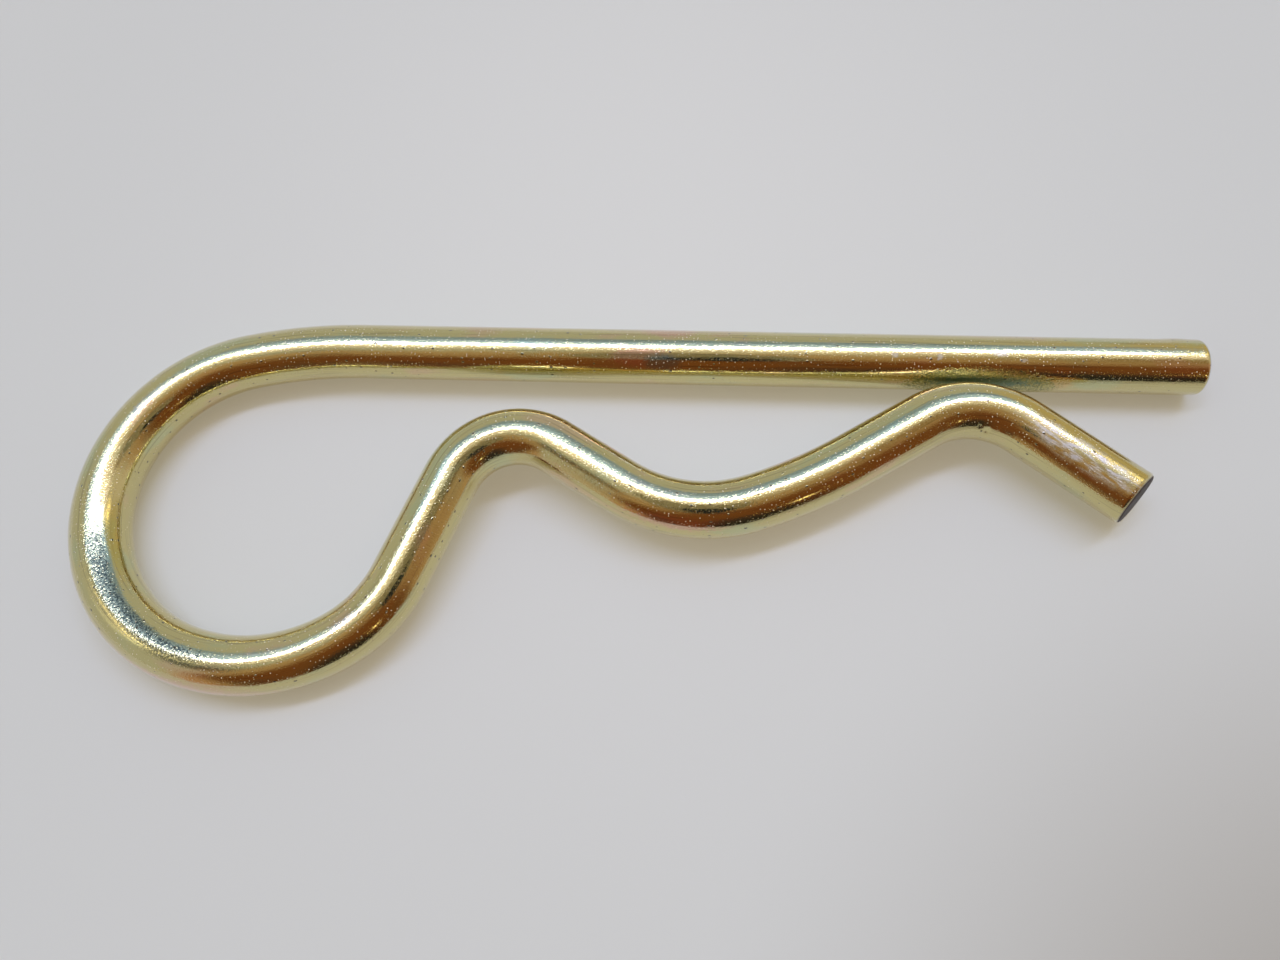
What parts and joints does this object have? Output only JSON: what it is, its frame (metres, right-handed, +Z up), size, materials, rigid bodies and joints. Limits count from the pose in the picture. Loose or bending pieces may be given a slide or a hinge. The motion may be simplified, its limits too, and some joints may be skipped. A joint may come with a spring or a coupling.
{
  "type": "hitch pin clip",
  "caption": "Spring wire R clip with a straight leg, an open eye and a wavy sprung arm, which locks a shaft or pin through its cross hole.",
  "frame": {"origin": "on the resting plane, at the middle of the clip's outline seen from above", "axes": "+X along the straight leg towards its free end, +Y across the clip from the arm to the leg, +Z up from the resting plane"},
  "size_m": [0.0948, 0.0326, 0.0062],
  "materials": {
    "plated_wire": "bright yellow zinc plating on drawn spring steel wire"
  },
  "bodies": {
    "root": {"clip_wire": "plated_wire"}
  },
  "joints": []
}
